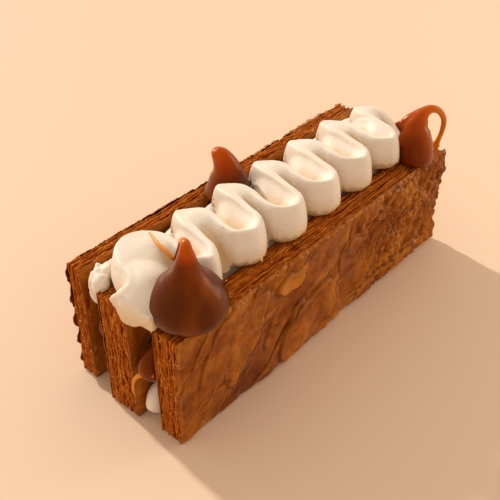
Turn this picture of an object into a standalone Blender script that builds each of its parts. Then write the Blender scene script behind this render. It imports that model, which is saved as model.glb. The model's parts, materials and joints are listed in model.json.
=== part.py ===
"""A mille feuille slice: three sheets of caramelised puff pastry stand on edge, side by side.

Cream and caramel ropes fill the two gaps between the sheets. A ribbon of cream is piped
in a serpentine along the top, and three caramel dollops with pulled tips sit beside it.
The length runs along X, the sheets stack along Y, and the slice stands on Z = 0.
"""
import math
import random

import bmesh
import bpy
from mathutils import Vector

MM = 0.001

# ---------------------------------------------------------------- driving dimensions
LENGTH = 120 * MM           # pastry sheets, end to end
GAP = 0.3 * MM              # left between pieces that touch
BALL_WAIST = 0.14           # how much narrower a rope is between two of its balls
ROPE_END = 3.0 * MM         # length over which a rope's end is rounded
ROPE_SWAY = 0.25 * MM       # unevenness of a rope's height
LEAF_NOTCH = 0.12 * MM      # half of the groove between two leaves
LEAF_RAGGED = 0.7 * MM      # how far a leaf can fall short of its sheet's outline
LEAF_WAVE = 0.22 * MM       # waviness of a leaf's edge

# One row for each sheet: outer and inner face, height at the near (-X) and far end,
# shift of the near end along X, lean of the top along Y, flare of the outer top edge.
SHEETS = {
    "pastry_back": dict(y_low=15.5 * MM, y_high=21.6 * MM, near=37.9 * MM, far=36.4 * MM,
                        shift=1.1 * MM, lean=0.2 * MM, flare=0.0, leaves=5),
    "pastry_middle": dict(y_low=-3.7 * MM, y_high=7.0 * MM, near=37.2 * MM, far=37.2 * MM,
                          shift=-1.0 * MM, lean=0.5 * MM, flare=0.0, leaves=8),
    "pastry_front": dict(y_low=-19.2 * MM, y_high=-11.1 * MM, near=35.7 * MM, far=34.5 * MM,
                         shift=0.0, lean=0.4 * MM, flare=1.3 * MM, leaves=7),
}

# Ropes in the gaps: gap centre, half width, bottom, top, and how far they stop short
# of the near and far ends.
ROPES = {
    "cream_filling_back": dict(y=11.35 * MM, half=3.85 * MM, low=27.0 * MM, high=37.0 * MM,
                               near=2.6 * MM, far=2.5 * MM, balls=9, kind="cream"),
    "caramel_filling_back": dict(y=11.35 * MM, half=3.75 * MM, low=14.0 * MM, high=26.6 * MM,
                                 near=3.4 * MM, far=3.0 * MM, balls=8, kind="caramel"),
    "cream_filling_front_top": dict(y=-7.3 * MM, half=3.3 * MM, low=26.8 * MM, high=35.2 * MM,
                                    near=5.0 * MM, far=2.5 * MM, balls=9, kind="cream"),
    "caramel_filling_front": dict(y=-7.4 * MM, half=3.3 * MM, low=12.9 * MM, high=26.4 * MM,
                                  near=0.4 * MM, far=3.0 * MM, balls=8, kind="caramel"),
    "cream_filling_front_low": dict(y=-7.4 * MM, half=3.3 * MM, low=0.6 * MM, high=12.5 * MM,
                                    near=0.8 * MM, far=2.5 * MM, balls=9, kind="cream"),
}

# Piped cream: one row for each right-hand lobe of the serpentine, near end first, with
# the X of its near and far arm, how far right (-Y) it reaches and its crest's height.
LOBES = [
    (-43.2 * MM, -36.9 * MM, -14.4 * MM, 47.1 * MM),
    (-28.9 * MM, -20.0 * MM, -14.9 * MM, 47.3 * MM),
    (-14.1 * MM, -5.0 * MM, -16.3 * MM, 47.4 * MM),
    (1.7 * MM, 10.6 * MM, -16.0 * MM, 47.3 * MM),
    (17.6 * MM, 26.0 * MM, -15.9 * MM, 47.3 * MM),
    (33.6 * MM, 41.4 * MM, -15.4 * MM, 46.6 * MM),
]
LEFT_REACH = 7.7 * MM       # how far left (+Y) the crest goes between two lobes
LEFT_DROP = 0.9 * MM        # how much lower the crest is there
ARM_SLANT = 0.16            # an arm drifts this much along X for each step along Y
CREAM_MIDDLE = -2.6 * MM    # Y that the ribbon swings about
CREAM_FOOT_SWING = 0.50     # the ribbon's foot swings this share of its crest's swing
CREAM_FOOT_Z = 34.0 * MM
RIBBON_FOOT = 4.1 * MM      # half thickness at the foot
RIBBON_RIM = 0.8 * MM       # half thickness at the crest
LAST_TURN = 7.4 * MM        # from the last lobe's far arm to the arm that ends the ribbon
HOLLOW_FLOOR = 44.7 * MM    # floor of the hollow inside a right-hand turn
SADDLE_FLOOR = 46.5 * MM    # floor of the saddle inside a left-hand turn
PAD_MIDDLE = 38.0 * MM      # height of the middle of the rounded fills under both
FRONT_GAP_SAG = 35.5 * MM   # how low the piped cream dips over the front gap
BACK_GAP_TOP = 37.3 * MM    # top of the filling that it lies on over the back gap

# Dollops: centre of the base, on top of the pastry, and the spine that each is drawn up
# along, as (x, y, z, radius) in millimetres from that centre.
DOLLOPS = {
    "near": dict(place=(-50.7 * MM, -14.5 * MM, 36.0 * MM), spine=[
        (0, 0, 0, 7.2), (0, 0, 0.9, 8.7), (0, 0, 3.0, 9.7), (0, 0, 5.6, 9.6),
        (0, 0, 8.4, 8.2), (0, 0, 10.6, 5.9), (0.1, 0, 12.6, 3.6), (0.1, 0, 15.0, 2.3),
        (0.2, 0, 17.6, 1.6), (0.3, 0, 19.6, 1.2), (0.7, 0.5, 20.8, 0.9),
        (1.8, 2.8, 19.4, 0.75), (3.4, 5.6, 15.6, 0.65), (4.2, 7.2, 12.4, 0.6),
        (4.3, 8.0, 10.6, 0.55)]),
    "back": dict(place=(-9.4 * MM, 12.6 * MM, 37.7 * MM), spine=[
        (0, 0, 0, 4.6), (0, 0, 0.8, 5.6), (0, 0, 2.8, 6.0), (0, 0.2, 5.4, 5.2),
        (0, 0.6, 8.0, 3.8), (0, 1.0, 10.6, 2.6), (-0.1, 1.3, 13.0, 1.8),
        (-0.1, 1.5, 14.8, 1.2), (-0.1, 1.5, 15.4, 0.5)]),
    "far": dict(place=(47.0 * MM, -16.2 * MM, 35.1 * MM), spine=[
        (0, 0, 0, 4.7), (0, 0, 0.8, 5.5), (0.2, 0.6, 3.0, 6.0), (0.7, 1.8, 6.0, 6.0),
        (1.2, 2.8, 9.0, 5.5), (2.2, 2.7, 11.6, 4.0), (3.6, 1.8, 13.4, 2.6),
        (5.1, 0.7, 14.1, 1.7), (7.0, -0.7, 13.4, 1.2), (9.0, -2.3, 10.2, 0.95),
        (10.8, -2.2, 5.4, 0.75), (11.5, -1.3, 1.5, 0.7)]),
}

COLOURS = {
    "pastry": ((0.36, 0.13, 0.035), 0.45),
    "cream": ((0.82, 0.72, 0.55), 0.55),
    "caramel": ((0.25, 0.065, 0.012), 0.18),
}


# ---------------------------------------------------------------- helpers
def clear_scene():
    """Remove every object, such as the startup file's cube, camera and light."""
    for item in list(bpy.data.objects):
        bpy.data.objects.remove(item, do_unlink=True)


def make_material(kind):
    """One Principled material for each kind of food."""
    colour, roughness = COLOURS[kind]
    material = bpy.data.materials.new(kind)
    material.use_nodes = True
    shader = material.node_tree.nodes["Principled BSDF"]
    shader.inputs["Base Color"].default_value = (*colour, 1.0)
    shader.inputs["Roughness"].default_value = roughness
    shader.inputs["Metallic"].default_value = 0.0
    return material


def loft(name, rings, kind):
    """A closed solid through rings of equal length, with a flat cap at both ends."""
    shape = bmesh.new()
    grid = [[shape.verts.new(point) for point in ring] for ring in rings]
    count = len(rings[0])
    for lower, upper in zip(grid, grid[1:]):
        for i in range(count):
            j = (i + 1) % count
            shape.faces.new((lower[i], lower[j], upper[j], upper[i]))
    shape.faces.new(list(reversed(grid[0])))
    shape.faces.new(grid[-1])
    bmesh.ops.recalc_face_normals(shape, faces=shape.faces)
    mesh = bpy.data.meshes.new(name)
    shape.to_mesh(mesh)
    shape.free()
    mesh.materials.append(bpy.data.materials[kind])
    return bpy.data.objects.new(name, mesh)


def smooth_path(knots, steps):
    """Points of a Catmull-Rom curve through the knots."""
    points = []
    padded = [knots[0] * 2 - knots[1]] + knots + [knots[-1] * 2 - knots[-2]]
    for before, start, end, after in zip(padded, padded[1:], padded[2:], padded[3:]):
        for step in range(steps):
            t = step / steps
            points.append(0.5 * (2 * start + (end - before) * t
                                 + (2 * before - 5 * start + 4 * end - after) * t ** 2
                                 + (3 * start - before - 3 * end + after) * t ** 3))
    points.append(knots[-1].copy())
    return points


def add_cut(target, cutter):
    """Cut one closed object with another; the exact solver loses the thinned cream."""
    cut = target.modifiers.new("cut by " + cutter.name, "BOOLEAN")
    cut.operation = "DIFFERENCE"
    cut.solver = "MANIFOLD"
    cut.object = cutter


# ---------------------------------------------------------------- pastry
def leaf_outline(sheet, drop, near, far, phase):
    """Outline of one leaf in XZ, counter-clockwise, as (x, z) pairs with wavy edges."""
    left = -LENGTH / 2 + sheet["shift"] + near
    right = LENGTH / 2 - far
    feet, ends, tops = 3, 4, 12

    def wave(t):
        return LEAF_WAVE * (math.sin(9.0 * t + phase) + 0.6 * math.sin(23.0 * t + 2.3 * phase))

    def top_height(t):
        return sheet["near"] + (sheet["far"] - sheet["near"]) * t - drop

    points = [(left + (right - left) * i / feet, 0.0) for i in range(feet + 1)]
    for i in range(1, ends):
        t = i / ends
        points.append((right - abs(wave(t + 1.0)), top_height(1.0) * t))
    for i in range(tops + 1):
        t = 1.0 - i / tops
        points.append((left + (right - left) * t, top_height(t) - abs(wave(3.0 * t))))
    for i in range(1, ends):
        t = 1.0 - i / ends
        points.append((left + abs(wave(t)), top_height(0.0) * t))
    return points


def pastry_sheet(name, sheet, seed):
    """A sheet of stacked leaves, each with its own ragged outline, grooves between."""
    chance = random.Random(seed)
    leaf = (sheet["y_high"] - sheet["y_low"]) / sheet["leaves"]
    rings = []
    for index in range(sheet["leaves"]):
        edge = index in (0, sheet["leaves"] - 1)
        ragged = 0.25 * LEAF_RAGGED if edge else LEAF_RAGGED
        outline = leaf_outline(sheet, ragged * chance.random(), ragged * chance.random(),
                               ragged * chance.random(), 6.0 * chance.random())
        low = sheet["y_low"] + leaf * index + (LEAF_NOTCH if index else 0.0)
        last = index == sheet["leaves"] - 1
        high = sheet["y_low"] + leaf * (index + 1) - (0.0 if last else LEAF_NOTCH)
        for y in (low, high):
            outward = (sheet["y_high"] - y) / (sheet["y_high"] - sheet["y_low"])
            ring = []
            for x, z in outline:
                share = z / sheet["near"]
                shift = (sheet["lean"] - sheet["flare"] * outward) * share
                ring.append(Vector((x, y + shift, z)))
            rings.append(ring)
    return loft(name, rings, "pastry")


# ---------------------------------------------------------------- fillings
def filling_rope(name, rope, seed):
    """A rope piped as touching balls and pressed flat between two sheets."""
    chance = random.Random(seed)
    start = -LENGTH / 2 + rope["near"]
    end = LENGTH / 2 - rope["far"]
    half_height = (rope["high"] - rope["low"]) / 2
    middle = (rope["high"] + rope["low"]) / 2
    stations, sides = 3 * rope["balls"] + 1, 9
    sway = [ROPE_SWAY * (chance.random() - 0.5) for _ in range(stations)]
    rings = []
    for index in range(stations):
        t = index / (stations - 1)
        in_ball = abs(math.sin(math.pi * rope["balls"] * t))
        from_end = min(t, 1.0 - t) * (end - start)
        bulge = math.sqrt(min(1.0, (from_end + 0.17 * ROPE_END) / ROPE_END))
        size = (1.0 - BALL_WAIST * (1.0 - in_ball)) * (0.45 + 0.55 * bulge)
        ring = []
        for side in range(sides):
            angle = 2 * math.pi * side / sides
            across = math.copysign(abs(math.cos(angle)) ** 0.7, math.cos(angle))
            up = math.copysign(abs(math.sin(angle)) ** 0.85, math.sin(angle))
            ring.append(Vector((start + (end - start) * t,
                                rope["y"] + rope["half"] * size * across,
                                middle + (half_height - ROPE_SWAY) * size * up + sway[index])))
        rings.append(ring)
    return loft(name, rings, rope["kind"])


# ---------------------------------------------------------------- piped cream
def crest_knots():
    """Knots of the crest line: tail, nose, then arm, turn, arm, turn along the slice."""
    high = LOBES[0][3]
    knots = [Vector((-62.2 * MM, 0.2 * MM, 41.5 * MM)), Vector((-59.8 * MM, -3.4 * MM, 43.6 * MM)),
             Vector((-57.2 * MM, -1.0 * MM, 46.5 * MM)), Vector((-54.4 * MM, 5.0 * MM, high)),
             Vector((-48.8 * MM, LEFT_REACH + 0.8 * MM, high - 0.3 * MM))]
    for index, (near, far, reach, height) in enumerate(LOBES):
        knots.append(Vector((near + ARM_SLANT * 8 * MM, 4.0 * MM, height)))
        knots.append(Vector((near, -7.0 * MM, height)))
        knots.append(Vector(((near + far) / 2 - 0.3 * MM, reach, height - 0.3 * MM)))
        knots.append(Vector((far - ARM_SLANT * 3 * MM, -8.0 * MM, height)))
        knots.append(Vector((far + ARM_SLANT * 8 * MM, 4.0 * MM, height)))
        last = index == len(LOBES) - 1
        following = far + LAST_TURN if last else LOBES[index + 1][0]
        turn = (far + following) / 2 + ARM_SLANT * 12 * MM
        knots.append(Vector((turn, LEFT_REACH - (1.6 * MM if last else 0.0), height - LEFT_DROP)))
    knots.append(Vector((51.2 * MM, 1.6 * MM, 46.0 * MM)))
    knots.append(Vector((50.6 * MM, -6.0 * MM, 43.0 * MM)))
    knots.append(Vector((49.6 * MM, -9.6 * MM, 40.5 * MM)))
    return knots


def ribbon_half(share):
    """Half thickness of the ribbon, from foot (0) to crest (1)."""
    return RIBBON_RIM + (RIBBON_FOOT - RIBBON_RIM) * (1.0 - share ** 1.3) ** 0.9


def cream_ribbon(name):
    """The serpentine ribbon: a tapering wall that leans outward at every turn."""
    path = smooth_path(crest_knots(), 6)
    levels = 7
    rings = []
    for index, crest in enumerate(path):
        ahead = path[min(index + 1, len(path) - 1)] - path[max(index - 1, 0)]
        across = Vector((-ahead.y, ahead.x, 0.0)).normalized()
        from_end = min(index, len(path) - 1 - index) / 5
        fade = min(1.0, 0.25 + 0.75 * from_end)
        side_a, side_b = [], []
        for level in range(levels + 1):
            share = level / levels
            swing = CREAM_FOOT_SWING + (1.0 - CREAM_FOOT_SWING) * math.sin(share * math.pi / 2)
            middle = Vector((crest.x, CREAM_MIDDLE + (crest.y - CREAM_MIDDLE) * swing,
                             CREAM_FOOT_Z + (crest.z - CREAM_FOOT_Z) * share))
            half = ribbon_half(share) * fade
            side_a.append(middle + across * half)
            side_b.append(middle - across * half)
        top = crest + Vector((0.0, 0.0, RIBBON_RIM * 0.8))
        rings.append(side_a + [top] + list(reversed(side_b)))
    return loft(name, rings, "cream")


def ellipsoid(name, centre, radii, kind):
    """A scaled UV sphere."""
    shape = bmesh.new()
    bmesh.ops.create_uvsphere(shape, u_segments=24, v_segments=16, radius=1.0)
    for vert in shape.verts:
        vert.co = Vector(centre) + Vector([vert.co[i] * radii[i] for i in range(3)])
    mesh = bpy.data.meshes.new(name)
    shape.to_mesh(mesh)
    shape.free()
    mesh.materials.append(bpy.data.materials[kind])
    return bpy.data.objects.new(name, mesh)


def cream_bed(name):
    """The core that closes the floor of the hollows between the ribbon's arms."""
    start, end, low = -57.0 * MM, 49.0 * MM, 36.0 * MM
    half, height = 8.0 * MM, 8.2 * MM
    stations, sides = 21, 16
    rings = []
    for index in range(stations):
        t = index / (stations - 1)
        from_end = min(t, 1.0 - t) * (end - start)
        size = math.sqrt(min(1.0, (from_end + 0.4 * MM) / (6.0 * MM)))
        ring = []
        for side in range(sides):
            angle = 2 * math.pi * side / sides
            ring.append(Vector((start + (end - start) * t,
                                CREAM_MIDDLE + half * size * math.cos(angle),
                                low + height * size * math.sin(angle))))
        rings.append(ring)
    return loft(name, rings, "cream")


def cream_floor(name):
    """What the cream rests on, grown by the gap: a stepped block as long as the sheets."""
    def step(sheet):
        low, high = SHEETS[sheet]["y_low"], SHEETS[sheet]["y_high"]
        return low - GAP - SHEETS[sheet]["flare"], high + GAP + SHEETS[sheet]["lean"]

    front, middle, back = step("pastry_front"), step("pastry_middle"), step("pastry_back")
    profile = [(front[0], "pastry_front"), (front[1], "pastry_front"),
               (front[1], FRONT_GAP_SAG), (middle[0], FRONT_GAP_SAG),
               (middle[0], "pastry_middle"), (middle[1], "pastry_middle"),
               (middle[1], BACK_GAP_TOP), (back[0], BACK_GAP_TOP),
               (back[0], "pastry_back"), (back[1], "pastry_back")]
    near = min(sheet["shift"] for sheet in SHEETS.values()) - LENGTH / 2 - GAP
    far = LENGTH / 2 + 1.0 * MM
    bottom = CREAM_FOOT_Z / 2
    rings = []
    for x, end in ((near, "near"), (far, "far")):
        ring = []
        for y, under in profile:
            top = SHEETS[under][end] if under in SHEETS else under
            ring.append(Vector((x, y, top + GAP)))
        ring.append(Vector((x, profile[-1][0], bottom)))
        ring.append(Vector((x, profile[0][0], bottom)))
        rings.append(ring)
    return loft(name, rings, "cream")


def cream_pads():
    """Rounded fills that give each hollow and each saddle of the ribbon its floor."""
    pads = [ellipsoid("nose", (-57.0 * MM, -6.3 * MM, 40.9 * MM), (5.9 * MM, 7.2 * MM, 6.6 * MM),
                      "cream"),
            ellipsoid("first turn", (-49.5 * MM, 0.5 * MM, 39.0 * MM),
                      (6.5 * MM, 8.0 * MM, 6.9 * MM), "cream")]
    for index, (near, far, _, _) in enumerate(LOBES):
        last = index == len(LOBES) - 1
        following = far + LAST_TURN if last else LOBES[index + 1][0]
        pads.append(ellipsoid("hollow", ((near + far) / 2, CREAM_MIDDLE - 4.0 * MM, PAD_MIDDLE),
                              ((far - near) / 2 + 1.0 * MM, 8.8 * MM, HOLLOW_FLOOR - PAD_MIDDLE),
                              "cream"))
        pads.append(ellipsoid("saddle", ((far + following) / 2 + 0.8 * MM,
                                         CREAM_MIDDLE + 3.2 * MM, PAD_MIDDLE),
                              ((following - far) / 2 + 1.8 * MM, 8.4 * MM,
                               SADDLE_FLOOR - PAD_MIDDLE), "cream"))
    return pads


def piped_cream(collection, cutters):
    """Ribbon, bed and pads fused into one body, thinned, then cut by what it rests on."""
    pieces = [cream_ribbon("piped_cream"), cream_bed("bed")] + cream_pads()
    merged = bmesh.new()
    for piece in pieces:
        merged.from_mesh(piece.data)
    body = pieces[0]
    merged.to_mesh(body.data)
    merged.free()
    for extra in pieces[1:]:
        bpy.data.objects.remove(extra)
    fuse = body.modifiers.new("fuse", "REMESH")
    fuse.mode = "VOXEL"
    fuse.voxel_size = 0.6 * MM
    soften = body.modifiers.new("soften", "SMOOTH")
    soften.factor = 0.5
    soften.iterations = 5
    thin = body.modifiers.new("thin", "DECIMATE")
    thin.ratio = 0.036
    thin.use_collapse_triangulate = True
    collection.objects.link(body)
    for cutter in cutters:
        add_cut(body, cutter)
    return body


# ---------------------------------------------------------------- caramel dollops
def dollop(name, place, spine, grow=0.0, sides=12):
    """A dropped blob drawn up to a tip: rings square to its spine, grown by a margin."""
    base = Vector((*place, 0.0))
    path = smooth_path([base + Vector([value * MM for value in knot]) for knot in spine], 3)
    centres = [point.to_3d() for point in path]
    rings = []
    side = Vector((1.0, 0.0, 0.0))
    for index, point in enumerate(path):
        ahead = centres[min(index + 1, len(path) - 1)] - centres[max(index - 1, 0)]
        ahead.normalize()
        side = (side - ahead * side.dot(ahead)).normalized()
        other = ahead.cross(side)
        radius = point.w + grow
        centre = centres[index] - (ahead * grow if index == 0 else Vector())
        rings.append([centre + side * (radius * math.cos(2 * math.pi * k / sides))
                      + other * (radius * math.sin(2 * math.pi * k / sides))
                      for k in range(sides)])
    return loft(name, rings, "caramel")


# ---------------------------------------------------------------- assembly
def stand_on_centre(pieces, root):
    """Move the whole slice so that its box's bottom centre is the origin."""
    bpy.context.view_layer.update()
    graph = bpy.context.evaluated_depsgraph_get()
    corners = []
    for piece in pieces:
        shape = piece.evaluated_get(graph)
        corners += [shape.matrix_world @ vert.co for vert in shape.data.vertices]
    middle = [(min(c[i] for c in corners) + max(c[i] for c in corners)) / 2 for i in range(2)]
    root.location = (-middle[0], -middle[1], 0.0)


def main():
    clear_scene()
    for kind in COLOURS:
        make_material(kind)
    slice_set = bpy.data.collections.new("mille_feuille_slice")
    cutter_set = bpy.data.collections.new("cutters")
    bpy.context.scene.collection.children.link(slice_set)
    bpy.context.scene.collection.children.link(cutter_set)
    root = bpy.data.objects.new("slice_root", None)
    slice_set.objects.link(root)

    cutters = [cream_floor("cut_floor")]
    cutters += [dollop("cut_" + name, grow=GAP, **shape) for name, shape in DOLLOPS.items()]
    for cutter in cutters:
        cutter_set.objects.link(cutter)
        cutter.display_type = "WIRE"
        cutter.hide_render = True
        cutter.parent = root

    pieces = [pastry_sheet(name, sheet, seed)
              for seed, (name, sheet) in enumerate(SHEETS.items(), start=3)]
    pieces += [filling_rope(name, rope, seed)
               for seed, (name, rope) in enumerate(ROPES.items(), start=11)]
    pieces += [dollop("caramel_dollop_" + name, **shape) for name, shape in DOLLOPS.items()]
    for piece in pieces:
        slice_set.objects.link(piece)
    pieces.append(piped_cream(slice_set, cutters))
    for piece in pieces:
        piece.parent = root
        for face in piece.data.polygons:
            face.use_smooth = piece.name.startswith(("piped", "caramel", "cream"))
    stand_on_centre(pieces, root)


main()
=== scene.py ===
# %% [markdown]
# # A slice of mille feuille
#
# Three sheets of caramelised puff pastry stand on edge, with ropes of cream and caramel
# between them, a serpentine of piped cream along the top and three caramel dollops.
# Every piece is built around a fixed frame: the plain solids that say where each thing is.
# Lengths are in metres; `MM` lets a size be written in millimetres.

# %% Load the frame
import json
import math
import random

import bmesh
import bpy
import numpy as np
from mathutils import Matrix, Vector

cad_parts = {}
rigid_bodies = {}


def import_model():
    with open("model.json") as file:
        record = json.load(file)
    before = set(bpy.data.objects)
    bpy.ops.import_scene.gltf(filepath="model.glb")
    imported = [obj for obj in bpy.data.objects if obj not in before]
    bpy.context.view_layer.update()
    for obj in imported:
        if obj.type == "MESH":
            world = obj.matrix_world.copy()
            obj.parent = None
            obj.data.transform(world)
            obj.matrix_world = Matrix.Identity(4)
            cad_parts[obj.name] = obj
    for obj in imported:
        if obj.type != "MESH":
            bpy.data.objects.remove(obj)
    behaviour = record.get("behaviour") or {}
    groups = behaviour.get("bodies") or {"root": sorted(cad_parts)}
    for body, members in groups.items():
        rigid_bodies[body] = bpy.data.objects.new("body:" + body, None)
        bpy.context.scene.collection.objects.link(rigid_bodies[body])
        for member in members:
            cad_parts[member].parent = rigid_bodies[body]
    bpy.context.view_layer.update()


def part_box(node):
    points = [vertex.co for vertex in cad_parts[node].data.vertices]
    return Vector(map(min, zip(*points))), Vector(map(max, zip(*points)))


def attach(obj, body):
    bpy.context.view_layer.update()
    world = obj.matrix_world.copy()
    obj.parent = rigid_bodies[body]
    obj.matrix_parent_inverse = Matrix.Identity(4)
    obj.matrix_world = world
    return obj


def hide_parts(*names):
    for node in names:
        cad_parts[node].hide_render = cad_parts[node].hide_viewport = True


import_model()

MM = 0.001

# %% [markdown]
# The shapes below were drawn around a point in the middle of the front sheet's length and
# inside the middle sheet. The frame's boxes say where that point is, so all the drawing
# can be shifted onto the frame at once.

# %% Where the drawing's origin lies in the frame
LENGTH = 120 * MM                 # a pastry sheet, end to end
MIDDLE_SHEET_FACE = -3.7 * MM     # the middle sheet's front face, from the drawing's origin
SHIFT = np.array([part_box("pastry_front")[1].x - LENGTH / 2,
                  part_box("pastry_middle")[0].y - MIDDLE_SHEET_FACE, 0.0])
print("origin of the drawing in mm:", (SHIFT / MM).round(2))

# %% [markdown]
# A few helpers are shared by all the pieces. `place` adds a node to any tree and feeds its
# inputs with values or with other nodes' outputs, `bake` turns a modifier's result into a
# plain mesh, and `hand_over` sets a piece on the root body and hides the solids it stands
# for.

# %% Helpers for nodes and pieces
def place(tree, kind, inputs=None, **settings):
    """Add a node, set its properties, and feed its inputs by name or number."""
    made = tree.nodes.new(kind)
    for name, value in settings.items():
        setattr(made, name, value)
    for key, value in (inputs or {}).items():
        if isinstance(value, bpy.types.NodeSocket):
            tree.links.new(value, made.inputs[key])
        else:
            made.inputs[key].default_value = value
    return made


def new_piece(name, vertices, faces, material, smooth=True):
    """An object from lists of corners (metres) and faces, with outward normals."""
    mesh = bpy.data.meshes.new(name)
    mesh.from_pydata([tuple(v) for v in vertices], [], faces)
    shape = bmesh.new()
    shape.from_mesh(mesh)
    bmesh.ops.recalc_face_normals(shape, faces=shape.faces)
    shape.to_mesh(mesh)
    shape.free()
    mesh.materials.append(material)
    piece = bpy.data.objects.new(name, mesh)
    bpy.context.scene.collection.objects.link(piece)
    if smooth:
        mesh.shade_smooth()
    return piece


def bake(piece):
    """Replace the piece's mesh by what its modifiers make of it."""
    graph = bpy.context.evaluated_depsgraph_get()
    result = bpy.data.meshes.new_from_object(piece.evaluated_get(graph))
    piece.modifiers.clear()
    piece.data = result
    result.shade_smooth()


def store(piece, name, values):
    """Keep one number for each of the piece's points."""
    attribute = piece.data.attributes.new(name, "FLOAT", "POINT")
    attribute.data.foreach_set("value", np.asarray(values, dtype=np.float32))


def triangles(piece):
    """How many triangles a piece has."""
    return sum(len(face.vertices) - 2 for face in piece.data.polygons)


def hand_over(piece, slot, *nodes):
    """Ride on the root body and stand for the nodes; the slot is not used."""
    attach(piece, "root")
    if nodes:
        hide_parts(*nodes)
    print(piece.name, triangles(piece), "triangles")


def ease(t):
    """A smooth step from 0 to 1."""
    t = np.clip(t, 0.0, 1.0)
    return t * t * (3.0 - 2.0 * t)


# %% [markdown]
# Several finishes mix colours by noise. `tint` builds that part once: a noise texture on
# the object's own coordinates, stretched along one axis where leaves or strokes run, then
# a ramp of colours.

# %% Helpers for finishes
def new_finish(name, roughness, **sockets):
    """A Principled material; the sockets are set by name, with _ for a space."""
    material = bpy.data.materials.new(name)
    material.use_nodes = True
    shader = material.node_tree.nodes["Principled BSDF"]
    shader.inputs["Roughness"].default_value = roughness
    for socket, value in sockets.items():
        shader.inputs[socket.replace("_", " ")].default_value = value
    return material, material.node_tree, shader


def noise(tree, scale, stretch=(1, 1, 1), detail=4.0, roughness=0.55, distortion=0.0):
    """Noise on object coordinates; scale is in waves per metre."""
    where = place(tree, "ShaderNodeTexCoord")
    mapped = place(tree, "ShaderNodeMapping", {"Vector": where.outputs["Object"],
                                               "Scale": stretch})
    made = place(tree, "ShaderNodeTexNoise",
                 {"Vector": mapped.outputs[0], "Scale": scale, "Detail": detail,
                  "Roughness": roughness, "Distortion": distortion})
    return made.outputs["Fac"]


def ramp(tree, factor, stops):
    """A colour ramp through (position, colour) stops."""
    made = place(tree, "ShaderNodeValToRGB", {"Fac": factor})
    colours = made.color_ramp.elements
    while len(colours) < len(stops):
        colours.new(0.5)
    for element, (position, colour) in zip(colours, stops):
        element.position = position
        element.color = (*colour, 1.0)
    return made.outputs["Color"]


def mix(tree, factor, first, second, blend="MIX"):
    """Mix two colours."""
    made = place(tree, "ShaderNodeMix", {0: factor, 6: first, 7: second},
                 data_type="RGBA", blend_type=blend)
    return made.outputs[2]


def bump(tree, shader, height, distance, strength=1.0):
    """Raise the surface by a height of 0 to 1 times the distance."""
    made = place(tree, "ShaderNodeBump", {"Height": height, "Distance": distance,
                                          "Strength": strength})
    tree.links.new(made.outputs[0], shader.inputs["Normal"])


# %% [markdown]
# ## Puff pastry
#
# Cut puff pastry shows dozens of thin leaves, golden at their crisp rims and dark in the
# slits between them. Its wide faces, baked under a weight and caramelised, are smooth,
# brown and glossy with dull and golden patches. So there are two finishes: one for the
# leaves' edges and one for the glazed faces. The leaves carry two attributes made with
# their mesh: `depth`, how far a point lies behind the rim, which darkens the colour as
# painted shade in the slits, and `leaf`, the leaf's number.

# %% Finish of the leaves' edges
BROWN_SHEEN = (1.0, 0.50, 0.18, 1.0)      # browned sugar tints what it reflects


def leaf_finish():
    material, tree, shader = new_finish("pastry leaf edges", 0.6, Specular_IOR_Level=0.2,
                                        Specular_Tint=BROWN_SHEEN)
    along = noise(tree, 420.0, (0.8, 1.7, 0.9), 6.0, 0.66)
    browned = ramp(tree, along, [(0.30, (0.24, 0.045, 0.002)), (0.46, (0.50, 0.120, 0.007)),
                                 (0.60, (0.68, 0.210, 0.016)), (0.76, (0.88, 0.42, 0.09))])
    number = place(tree, "ShaderNodeAttribute", attribute_name="leaf").outputs["Fac"]
    each = place(tree, "ShaderNodeTexWhiteNoise", {"W": number}, noise_dimensions="1D")
    shade = ramp(tree, each.outputs["Value"], [(0.0, (0.70, 0.62, 0.55)),
                                               (1.0, (1.0, 1.0, 1.0))])
    uneven = mix(tree, 1.0, browned, shade, "MULTIPLY")
    # Deeper behind the rim the colour darkens: painted shade in the slits between the leaves.
    depth = place(tree, "ShaderNodeAttribute", attribute_name="depth").outputs["Fac"]
    inside = ramp(tree, depth, [(0.0, (1.0, 1.0, 1.0)), (0.55, (0.50, 0.34, 0.24))])
    colour = mix(tree, 1.0, uneven, inside, "MULTIPLY")
    tree.links.new(colour, shader.inputs["Base Color"])
    bump(tree, shader, noise(tree, 1100.0, (0.7, 1.4, 1.0), 5.0), 0.22 * MM, 0.9)
    return material


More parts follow.
